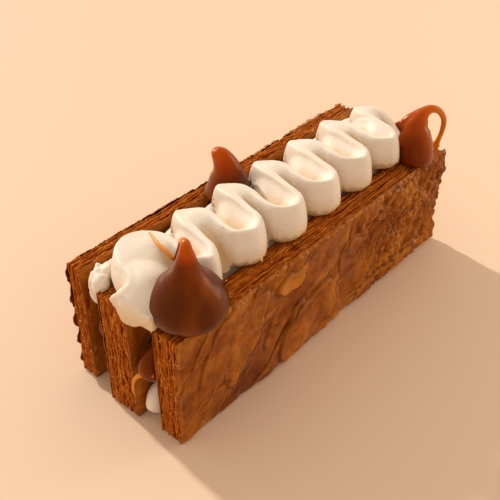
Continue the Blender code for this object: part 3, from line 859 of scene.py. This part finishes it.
def solid_between(name, x, y, top, bottom, filled, material):
    """A closed body over the filled points of the grid, with a wall round its edge."""
    cells = filled[:-1, :-1] & filled[1:, :-1] & filled[:-1, 1:] & filled[1:, 1:]
    rows, columns = x.shape
    number = np.arange(rows * columns).reshape(x.shape)
    upper = np.stack([x, y, top], axis=-1).reshape(-1, 3)
    lower = np.stack([x, y, bottom], axis=-1).reshape(-1, 3)
    faces = []
    lift = rows * columns
    framed = np.pad(cells, 1)
    for j, i in zip(*np.nonzero(cells)):
        a, b, c, d = number[j, i], number[j, i + 1], number[j + 1, i + 1], number[j + 1, i]
        faces.append((a, b, c, d))
        faces.append((d + lift, c + lift, b + lift, a + lift))
        for (p, q), (dj, di) in (((a, b), (-1, 0)), ((b, c), (0, 1)), ((c, d), (1, 0)),
                                 ((d, a), (0, -1))):
            if not framed[j + 1 + dj, i + 1 + di]:
                faces.append((q, p, p + lift, q + lift))
    points = np.concatenate([upper, lower]) * MM + SHIFT
    body = new_piece(name, points, faces, material)
    shape = bmesh.new()
    shape.from_mesh(body.data)
    bmesh.ops.delete(shape, geom=[v for v in shape.verts if not v.link_faces], context="VERTS")
    shape.to_mesh(body.data)
    shape.free()
    return body


def blurred(grid, steps):
    """The grid smoothed by a box filter of 2 * steps + 1 points, twice each way."""
    kernel = np.ones(2 * steps + 1) / (2 * steps + 1)
    for axis in (0, 1, 0, 1):
        grid = np.apply_along_axis(
            lambda line: np.convolve(np.pad(line, steps, mode="edge"), kernel, "valid"),
            axis, grid)
    return grid


def store_hollow_shade(piece, x, y, top):
    """Keep for every point how far it lies below the cream around it, from 0 to 1, raised near the
    foot; the finish paints shade with it.
    """
    around = blurred(top, round(2.6 / CREAM_STEP))
    flat = (np.array([v.co for v in piece.data.vertices]) - SHIFT) / MM
    column = np.clip(((flat[:, 0] - x[0, 0]) / CREAM_STEP).round().astype(int), 0,
                     x.shape[1] - 1)
    row = np.clip(((flat[:, 1] - y[0, 0]) / CREAM_STEP).round().astype(int), 0,
                  x.shape[0] - 1)
    normals = np.empty(len(flat) * 3, dtype=np.float32)
    piece.data.vertex_normals.foreach_get("vector", normals)
    facing_up = ease(normals[2::3] * 2.0)
    sunk = np.clip((around - blurred(top, 1))[row, column] / 1.8, 0.0, 1.0)
    # Lower points near the foot get painted shade too.
    low = 0.5 * span(flat[:, 2], 43.5, 35.5)
    store(piece, "hollow", np.maximum(sunk * facing_up, low))


def piped_cream():
    across = np.arange(-65.0, 54.5, CREAM_STEP)
    along = np.arange(-19.0, 13.0, CREAM_STEP)
    x, y = np.meshgrid(across, along)
    top = cream_height(x, y, crest)
    tongue = mound(x, y, (-55.2, -4.2, 37.6), (7.6, 8.2, 9.2))
    first_turn = crest[crest[:, 0] < -54.0]
    north = np.interp(x, first_turn[:, 0], first_turn[:, 1])
    tongue[y > north] = -99.0
    top = blend_higher(top, tongue, 2.5)
    floor = cream_floor(x, y)
    filled = top > floor + 0.2
    tucked = 1.0 - np.clip(depth_inside(filled) / FOOT_REACH, 0.0, 1.0)
    lift = FOOT_HEIGHT * (1.0 - np.sqrt(1.0 - tucked ** 2)) * (1.0 - 0.7 * span(x, -55, -60))
    bottom = np.minimum(floor + lift, top - 0.2)
    body = solid_between("piped_cream_serpentine", x, y, top, bottom, filled, cream_material)
    fuse = body.modifiers.new("fuse", "REMESH")
    fuse.mode = "VOXEL"
    fuse.voxel_size = 0.32 * MM
    soften = body.modifiers.new("soften", "SMOOTH")
    soften.factor = 0.5
    soften.iterations = 5
    bake(body)
    store_hollow_shade(body, x, y, np.where(filled, top, floor))
    return body


cream = piped_cream()
hand_over(cream, "cream", "piped_cream")

# %% [markdown]
# ## Caramel
#
# Thick caramel is glossy and lets light through where it is thin: a thread is orange, a
# belly nearly black-brown. The mesh knows how thick it is, because every ring round the
# spine has a radius, so the thinness is stored as an attribute and picks the colour.

# %% Finish of the caramel
def caramel_finish():
    material, tree, shader = new_finish("thick caramel", 0.30, Subsurface_Weight=0.10,
                                        Subsurface_Radius=(1.0, 0.22, 0.03),
                                        Subsurface_Scale=1.5 * MM, Coat_Weight=0.03,
                                        Coat_Roughness=0.10, Specular_IOR_Level=0.4,
                                        Specular_Tint=(1.0, 0.45, 0.16, 1.0))
    thin = place(tree, "ShaderNodeAttribute", attribute_name="thin").outputs["Fac"]
    body = ramp(tree, thin, [(0.0, (0.100, 0.014, 0.0005)), (0.30, (0.17, 0.024, 0.0008)),
                             (0.62, (0.44, 0.052, 0.001)), (0.85, (0.62, 0.115, 0.003)),
                             (1.0, (0.85, 0.34, 0.03))])
    streaks = noise(tree, 95.0, (1, 1, 0.22), 2.0)
    cloud = ramp(tree, streaks, [(0.35, (0.62, 0.52, 0.45)), (0.62, (1.0, 1.0, 1.0))])
    colour = mix(tree, 1.0, body, cloud, "MULTIPLY")
    warm = ramp(tree, streaks, [(0.50, (0.0, 0.0, 0.0)), (0.72, (0.30, 0.30, 0.30))])
    colour = mix(tree, warm, colour, (0.50, 0.12, 0.006, 1.0))
    tree.links.new(colour, shader.inputs["Base Color"])
    bump(tree, shader, noise(tree, 260.0, (1, 1, 0.6), 2.0), 0.05 * MM, 0.35)
    return material


caramel_material = caramel_finish()

# %% [markdown]
# ### Dollops
#
# A dollop is dropped as a round blob and drawn up to a tip. Each part of it has a spine of
# points with a radius; rings set square to a smooth curve through them make a skin. A
# dollop with a wing or a shoulder needs several skins, so they are melted into one with a
# fine voxel grid, and then each point learns how thick the caramel is there.

# %% Skins along spines, melted together
def spine_skin(name, spine, material, sides=56, steps=8):
    """Rings square to a smooth spine of (x, y, z, radius) rows, in millimetres."""
    path = through(spine, steps)
    centres, radii = path[:, :3], np.maximum(path[:, 3], 0.05)
    angles = np.linspace(0, 2 * math.pi, sides, endpoint=False)
    side = np.array([1.0, 0.0, 0.0])
    rings = []
    for index, centre in enumerate(centres):
        ahead = centres[min(index + 1, len(path) - 1)] - centres[max(index - 1, 0)]
        ahead /= np.linalg.norm(ahead)
        side = side - ahead * side.dot(ahead)
        side /= np.linalg.norm(side)
        other = np.cross(ahead, side)
        rings.append(centre + radii[index] * (np.outer(np.cos(angles), side)
                                              + np.outer(np.sin(angles), other)))
    points = np.concatenate(rings) * MM + SHIFT
    faces = [(r * sides + k, r * sides + (k + 1) % sides,
              (r + 1) * sides + (k + 1) % sides, (r + 1) * sides + k)
             for r in range(len(rings) - 1) for k in range(sides)]
    faces.append(list(range(sides)))
    faces.append([(len(rings) - 1) * sides + k for k in range(sides)])
    return new_piece(name, points, faces, material)


def store_thinness(piece, spines):
    """Keep for every point how thin the caramel is, from the nearest spine's radius."""
    path = np.concatenate([through(spine, 8) for spine in spines])
    flat = (np.array([v.co for v in piece.data.vertices]) - SHIFT) / MM
    thin = np.empty(len(flat))
    for start in range(0, len(flat), 4000):
        part = flat[start:start + 4000]
        apart = np.sqrt(((part[:, None, :] - path[None, :, :3]) ** 2).sum(axis=2))
        weight = np.exp(-1.6 * np.abs(apart - path[:, 3]))
        radius = (weight * path[:, 3]).sum(axis=1) / np.maximum(weight.sum(axis=1), 1e-9)
        thin[start:start + 4000] = np.clip(1.0 - (radius - 0.6) / 8.5, 0.0, 1.0) ** 1.4
    store(piece, "thin", thin)


def melted(name, spines, material, voxel=0.26):
    """One closed body from several skins that overlap."""
    parts = [spine_skin(name, spine, material) for spine in spines]
    shape = bmesh.new()
    for part in parts:
        shape.from_mesh(part.data)
    shape.to_mesh(parts[0].data)
    shape.free()
    for part in parts[1:]:
        bpy.data.objects.remove(part)
    fuse = parts[0].modifiers.new("fuse", "REMESH")
    fuse.mode = "VOXEL"
    fuse.voxel_size = voxel * MM
    soften = parts[0].modifiers.new("soften", "SMOOTH")
    soften.factor = 0.5
    soften.iterations = 6
    bake(parts[0])
    parts[0].name = name
    store_thinness(parts[0], spines[:1])
    return parts[0]


# %% Three dollops
DOLLOPS = {
    "near": [[
        (-50.7, -14.5, 36.0, 7.2), (-50.7, -14.5, 36.9, 8.7), (-50.7, -14.5, 39.0, 9.7),
        (-50.7, -14.5, 41.6, 9.6), (-50.7, -14.5, 44.4, 8.3), (-50.7, -14.5, 46.6, 6.4),
        (-50.6, -14.5, 48.6, 4.5), (-50.6, -14.5, 51.0, 3.1), (-50.5, -14.5, 53.6, 2.2),
        (-50.4, -14.4, 55.4, 1.6), (-49.9, -13.9, 56.6, 1.15), (-48.8, -11.7, 55.6, 0.85),
        (-47.4, -9.2, 51.8, 0.65), (-46.5, -7.3, 48.4, 0.6), (-46.4, -6.5, 46.6, 0.6),
        (-46.4, -5.4, 46.3, 0.55)]],
    "back": [[
        (-8.0, 11.6, 37.7, 6.2), (-8.0, 11.6, 38.5, 6.9), (-8.0, 11.6, 40.1, 6.4),
        (-8.1, 11.6, 42.7, 5.4), (-8.2, 11.6, 45.6, 4.3), (-8.6, 12.2, 48.2, 3.4),
        (-9.2, 13.0, 50.2, 2.7), (-9.8, 13.7, 51.6, 2.0), (-10.1, 14.0, 52.6, 1.1)],
        [(-7.0, 12.2, 41.0, 4.0), (-3.0, 13.8, 39.8, 2.4), (1.0, 15.6, 38.8, 1.2)]],
    "far": [[
        (47.2, -16.4, 35.1, 4.7), (47.2, -16.4, 35.9, 5.3), (47.2, -16.0, 39.0, 5.3),
        (47.3, -15.2, 42.5, 4.9), (48.0, -14.6, 45.6, 4.1), (49.2, -14.9, 48.0, 2.9),
        (50.4, -15.5, 49.6, 1.9), (52.4, -16.6, 50.4, 1.3), (54.8, -18.0, 49.3, 1.05),
        (56.7, -19.0, 46.2, 0.9), (57.5, -18.8, 42.6, 0.85), (57.8, -18.1, 39.2, 0.8),
        (57.9, -17.4, 36.8, 0.95), (57.9, -17.0, 35.6, 1.6)],
        [(47.8, -14.8, 44.0, 4.0), (46.4, -12.6, 45.0, 2.8), (45.2, -10.6, 45.8, 1.4),
         (44.5, -9.4, 46.2, 0.4)],
        [(45.0, -10.3, 45.9, 0.8), (47.0, -12.5, 47.0, 2.0), (50.0, -15.2, 49.0, 2.2)]],
}

for name, spines in DOLLOPS.items():
    piece = melted("dollop_" + name, spines, caramel_material)
    hand_over(piece, "caramel", "caramel_dollop_" + name)

# %% [markdown]
# The near dollop's tip ran on into a thread that fell on the cream and stuck there.

# %% Thread of caramel on the cream
THREAD = [(-46.3, -6.3, 46.2, 0.5), (-46.6, -5.4, 46.1, 0.58), (-46.4, -3.8, 46.5, 0.55),
          (-45.8, -0.3, 46.8, 0.5), (-44.6, 3.0, 46.7, 0.42), (-43.6, 5.6, 46.6, 0.25)]
thread = spine_skin("dollop_near_thread", THREAD, caramel_material, sides=14, steps=6)
store_thinness(thread, [THREAD])
hand_over(thread, "caramel")

# %% [markdown]
# ## Fillings
#
# Cream and caramel were piped as rows of touching balls, then pressed between two sheets.
# A row of balls follows a line, so Geometry Nodes repeat one ball along it, each a little
# bigger or smaller and set a little higher or lower by chance.

# %% The node tree that makes a row of balls
def ball_row_tree(name, material):
    tree = bpy.data.node_groups.new(name, "GeometryNodeTree")
    face = tree.interface
    face.new_socket("Geometry", in_out="INPUT", socket_type="NodeSocketGeometry")
    face.new_socket("Balls", in_out="INPUT", socket_type="NodeSocketInt")
    for socket in ("Start", "Finish", "Radii"):
        face.new_socket(socket, in_out="INPUT", socket_type="NodeSocketVector")
    face.new_socket("Uneven", in_out="INPUT", socket_type="NodeSocketFloat")
    face.new_socket("Seed", in_out="INPUT", socket_type="NodeSocketInt")
    face.new_socket("Geometry", in_out="OUTPUT", socket_type="NodeSocketGeometry")
    given = tree.nodes.new("NodeGroupInput").outputs
    line = place(tree, "GeometryNodeMeshLine",
                 {"Count": given["Balls"], "Start Location": given["Start"],
                  "Offset": given["Finish"]}, mode="END_POINTS")
    ball = place(tree, "GeometryNodeMeshUVSphere", {"Segments": 32, "Rings": 20, "Radius": 1.0})
    low = place(tree, "ShaderNodeMath", {0: 1.0, 1: given["Uneven"]}, operation="SUBTRACT")
    high = place(tree, "ShaderNodeMath", {0: 1.0, 1: given["Uneven"]}, operation="ADD")
    chance = place(tree, "FunctionNodeRandomValue", {"Seed": given["Seed"]},
                   data_type="FLOAT")
    tree.links.new(low.outputs[0], chance.inputs[2])
    tree.links.new(high.outputs[0], chance.inputs[3])
    size = place(tree, "ShaderNodeVectorMath", {0: given["Radii"], "Scale": chance.outputs[1]},
                 operation="SCALE")
    rows = place(tree, "GeometryNodeInstanceOnPoints",
                 {"Points": line.outputs[0], "Instance": ball.outputs[0],
                  "Scale": size.outputs[0]})
    real = place(tree, "GeometryNodeRealizeInstances", {0: rows.outputs[0]})
    spot = place(tree, "GeometryNodeInputPosition").outputs[0]
    lumps = place(tree, "ShaderNodeTexNoise", {"Vector": spot, "Scale": 110.0, "Detail": 2.0})
    centred = place(tree, "ShaderNodeVectorMath", {0: lumps.outputs["Color"],
                                                   1: (0.5, 0.5, 0.5)}, operation="SUBTRACT")
    moved = place(tree, "ShaderNodeVectorMath", {0: centred.outputs[0], "Scale": 1.6 * MM},
                  operation="SCALE")
    uneven = place(tree, "GeometryNodeSetPosition", {"Geometry": real.outputs[0],
                                                     "Offset": moved.outputs[0]})
    painted = place(tree, "GeometryNodeSetMaterial",
                    {"Geometry": uneven.outputs[0], "Material": material})
    place(tree, "NodeGroupOutput", {0: painted.outputs[0]})
    return tree


# %% Pipe every filling
ROWS = {"cream_filling_back": 9, "caramel_filling_back": 8, "cream_filling_front_top": 9,
        "caramel_filling_front": 8, "cream_filling_front_low": 9}
FILLINGS = {"cream": cream_material, "caramel": caramel_material}
FILLING_TREES = {kind: ball_row_tree(f"row of {kind} balls", material)
                 for kind, material in FILLINGS.items()}
for seed, (node, balls) in enumerate(ROWS.items()):
    low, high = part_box(node)
    middle = (low + high) / 2
    kind = node.split("_")[0]
    pitch = (high.x - low.x) / balls
    radii = Vector((0.66 * pitch, (high.y - low.y) / 2 + 0.5 * MM,
                    (high.z - low.z) / 2 + 0.5 * MM))
    row = new_piece(node + "_row", [], [], FILLINGS[kind])
    run_tree(row, FILLING_TREES[kind], balls=balls,
             start=(low.x + radii.x - 1.8 * MM, middle.y, middle.z),
             finish=(high.x - radii.x, middle.y, middle.z), radii=tuple(radii),
             uneven=0.05, seed=seed + 4)
    store(row, "thin", np.full(len(row.data.vertices), 0.30))
    hand_over(row, kind, node)

# %% [markdown]
# At the near end a little caramel ran out of its row and curled down over the middle
# sheet, and some cream was squeezed up out of the back gap in lumps.

# %% Caramel curl and squeezed cream
CURL = [(-58.6, -8.6, 18.6, 1.6), (-60.2, -7.4, 18.4, 1.0), (-61.3, -5.6, 17.2, 0.6),
        (-61.7, -4.3, 14.6, 0.45), (-61.6, -3.7, 11.4, 0.4), (-61.3, -3.6, 8.6, 0.2)]
curl = spine_skin("caramel_filling_front_curl", CURL, caramel_material, sides=16, steps=8)
store_thinness(curl, [CURL])
hand_over(curl, "caramel")

SQUEEZED = [[(-58.2, 8.6, 35.4, 2.0), (-57.8, 8.8, 37.6, 2.3), (-56.6, 9.4, 39.3, 1.6)],
            [(-58.4, 10.8, 34.8, 1.7), (-57.4, 10.9, 37.6, 2.0), (-55.6, 11.4, 39.6, 1.2)],
            [(-57.4, 9.8, 37.6, 2.2), (-53.0, 10.6, 38.4, 2.0), (-48.0, 11.4, 37.6, 1.2)],
            [(-56.4, 12.2, 38.2, 1.1), (-55.2, 12.6, 40.0, 0.6)]]
squeezed = melted("cream_filling_back_lumps", SQUEEZED, cream_material)
places = np.array([v.co for v in squeezed.data.vertices])
flat = places / MM
ripple = soft_noise(flat[:, 0] + flat[:, 2], flat[:, 1] - flat[:, 2], 8, 3.4, 2)
places += 0.14 * MM * ripple[:, None]
squeezed.data.vertices.foreach_set("co", places.ravel())
hand_over(squeezed, "cream")

# %% [markdown]
# ## Seeds and crumbs
#
# Vanilla seeds lie in the cream and crumbs of pastry cling to the sheets. Both are the
# same job for Geometry Nodes: scatter points over a surface, set a small shape on each
# with a size and a turn by chance, and keep only the shapes.

# %% The node tree that scatters small shapes
def scatter_tree(name, material):
    tree = bpy.data.node_groups.new(name, "GeometryNodeTree")
    face = tree.interface
    face.new_socket("Geometry", in_out="INPUT", socket_type="NodeSocketGeometry")
    for socket in ("Density", "Smallest", "Largest", "Flatness", "Lift"):
        face.new_socket(socket, in_out="INPUT", socket_type="NodeSocketFloat")
    face.new_socket("Seed", in_out="INPUT", socket_type="NodeSocketInt")
    face.new_socket("Geometry", in_out="OUTPUT", socket_type="NodeSocketGeometry")
    given = tree.nodes.new("NodeGroupInput").outputs
    points = place(tree, "GeometryNodeDistributePointsOnFaces",
                   {"Mesh": given["Geometry"], "Density": given["Density"],
                    "Seed": given["Seed"]})
    normal = place(tree, "ShaderNodeVectorMath", {0: points.outputs["Normal"],
                                                  "Scale": given["Lift"]}, operation="SCALE")
    raised = place(tree, "GeometryNodeSetPosition", {"Geometry": points.outputs["Points"],
                                                     "Offset": normal.outputs[0]})
    grain = place(tree, "GeometryNodeMeshIcoSphere", {"Radius": 1.0, "Subdivisions": 1})
    chance = place(tree, "FunctionNodeRandomValue", {"Seed": given["Seed"]}, data_type="FLOAT")
    tree.links.new(given["Smallest"], chance.inputs[2])
    tree.links.new(given["Largest"], chance.inputs[3])
    spread = place(tree, "FunctionNodeRandomValue", {0: (0.6, 0.4, 1.0), 1: (1.4, 1.2, 1.0)},
                   data_type="FLOAT_VECTOR")
    flat = place(tree, "ShaderNodeCombineXYZ", {0: 1.0, 1: 1.0, 2: given["Flatness"]})
    shape = place(tree, "ShaderNodeVectorMath", {0: spread.outputs[0], 1: flat.outputs[0]},
                  operation="MULTIPLY")
    size = place(tree, "ShaderNodeVectorMath", {0: shape.outputs[0],
                                                "Scale": chance.outputs[1]},
                 operation="SCALE")
    set_down = place(tree, "GeometryNodeInstanceOnPoints",
                     {"Points": raised.outputs[0], "Instance": grain.outputs[0],
                      "Rotation": points.outputs["Rotation"], "Scale": size.outputs[0]})
    turn = place(tree, "FunctionNodeRandomValue", {0: (-0.4, -0.4, 0.0), 1: (0.4, 0.4, 6.28)},
                 data_type="FLOAT_VECTOR")
    turned = place(tree, "GeometryNodeRotateInstances",
                   {"Instances": set_down.outputs[0], "Rotation": turn.outputs[0]})
    real = place(tree, "GeometryNodeRealizeInstances", {0: turned.outputs[0]})
    painted = place(tree, "GeometryNodeSetMaterial",
                    {"Geometry": real.outputs[0], "Material": material})
    place(tree, "NodeGroupOutput", {0: painted.outputs[0]})
    return tree


def scatter(name, surface, tree, keep=None, **values):
    """Small shapes over a piece's surface, or over the faces for which keep is true."""
    piece = surface.copy()
    piece.data = surface.data.copy()
    piece.name = name
    bpy.context.scene.collection.objects.link(piece)
    if keep:
        shape = bmesh.new()
        shape.from_mesh(piece.data)
        bmesh.ops.delete(shape, geom=[f for f in shape.faces if not keep(f)], context="FACES")
        shape.to_mesh(piece.data)
        shape.free()
    run_tree(piece, tree, **values)
    return piece


# %% Seeds in the cream, crumbs on the pastry
def crumb_finish(name, dark, light):
    material, tree, shader = new_finish(name, 0.6, Specular_IOR_Level=0.2)
    colour = ramp(tree, noise(tree, 500.0), [(0.4, dark), (0.6, light)])
    tree.links.new(colour, shader.inputs["Base Color"])
    return material


seed_tree = scatter_tree("vanilla seeds", crumb_finish("vanilla seed", (0.16, 0.09, 0.04),
                                                       (0.36, 0.24, 0.13)))
seeds = scatter("vanilla_seeds", cream, seed_tree, density=50000.0, smallest=0.04 * MM,
                largest=0.12 * MM, flatness=0.7, lift=0.02 * MM, seed=5)
hand_over(seeds, "cream")

crumb_tree = scatter_tree("pastry crumbs", crumb_finish("pastry crumb", (0.55, 0.17, 0.015),
                                                        (0.85, 0.42, 0.10)))
for number, name in enumerate(SHEETS):
    leaves = bpy.data.objects[name + "_leaves"]
    height = SHEETS[name]["height"]
    crumbs = scatter(name + "_crumbs", leaves, crumb_tree,
                     keep=lambda face: (abs(face.calc_center_median().x) > 0.055
                                        or face.calc_center_median().z > height - 2.0 * MM),
                     density=70000.0, smallest=0.12 * MM, largest=0.42 * MM, flatness=0.45,
                     lift=0.1 * MM, seed=number + 11)
    hand_over(crumbs, "pastry")

pale_tree = scatter_tree("pale crumbs", crumb_finish("pale crumb", (0.75, 0.50, 0.28),
                                                     (0.95, 0.85, 0.70)))
face = bpy.data.objects["pastry_front_glaze_front"]
pale = scatter("pastry_front_pale_crumbs", face, pale_tree, density=14000.0,
               smallest=0.08 * MM, largest=0.26 * MM, flatness=0.6, lift=0.05 * MM, seed=3,
               keep=lambda face: face.normal.y < -0.3)
hand_over(pale, "pastry")

# %% [markdown]
# ## Stage, light and camera
#
# A pale warm floor, one low soft sun from behind for the long shadows and the lit crests,
# and a bright warm sky that fills the shaded side.

# %% Stage and light
def stage_floor():
    material, tree, shader = new_finish("pale floor", 0.7)
    shader.inputs["Base Color"].default_value = (0.80, 0.60, 0.44, 1.0)
    size = 1.5
    floor = new_piece("floor", [(-size, -size, -0.3 * MM), (size, -size, -0.3 * MM),
                                (size, size, -0.3 * MM), (-size, size, -0.3 * MM)],
                      [(0, 1, 2, 3)], material, smooth=False)


def sun(direction, elevation, strength, angle, colour):
    """A sun seen from the slice in a plan direction and at an elevation."""
    light = bpy.data.lights.new("sun", "SUN")
    light.energy, light.angle, light.color = strength, math.radians(angle), colour
    lamp = bpy.data.objects.new("sun", light)
    bpy.context.scene.collection.objects.link(lamp)
    flat = Vector((*direction, 0.0)).normalized() * math.cos(math.radians(elevation))
    towards = Vector((flat.x, flat.y, math.sin(math.radians(elevation))))
    lamp.rotation_euler = towards.to_track_quat("Z", "Y").to_euler()


def softbox(place_at, target, size, power, colour):
    """A square soft light that faces a point."""
    light = bpy.data.lights.new("softbox", "AREA")
    light.energy, light.size, light.color = power, size, colour
    lamp = bpy.data.objects.new("softbox", light)
    bpy.context.scene.collection.objects.link(lamp)
    lamp.location = place_at
    lamp.rotation_euler = (Vector(place_at) - Vector(target)).to_track_quat("Z", "Y").to_euler()


stage_floor()
softbox((0.42, -0.22, 0.16), (-0.02, -0.01, 0.04), 0.22, 0.5, (1.0, 0.82, 0.62))
sun((0.107, 0.994), 29.0, 2.7, 3.0, (1.0, 0.94, 0.84))
world = bpy.data.worlds.new("soft sky")
bpy.context.scene.world = world
world.use_nodes = True
sky = world.node_tree.nodes["Background"]
sky.inputs["Color"].default_value = (1.0, 0.83, 0.67, 1.0)
sky.inputs["Strength"].default_value = 0.78
bpy.context.scene.view_settings.view_transform = "Standard"

# %% Camera
CAMERA_AT = np.array([-151.5, -121.6, 168.5]) * MM + SHIFT
CAMERA_AHEAD = Vector((0.597, 0.520, -0.611))
lens = bpy.data.cameras.new("camera")
lens.lens, lens.sensor_width, lens.clip_start = 59.28, 36.0, 0.01
camera = bpy.data.objects.new("camera", lens)
camera.location = CAMERA_AT
camera.rotation_euler = CAMERA_AHEAD.to_track_quat("-Z", "Y").to_euler()
bpy.context.scene.collection.objects.link(camera)
bpy.context.scene.camera = camera
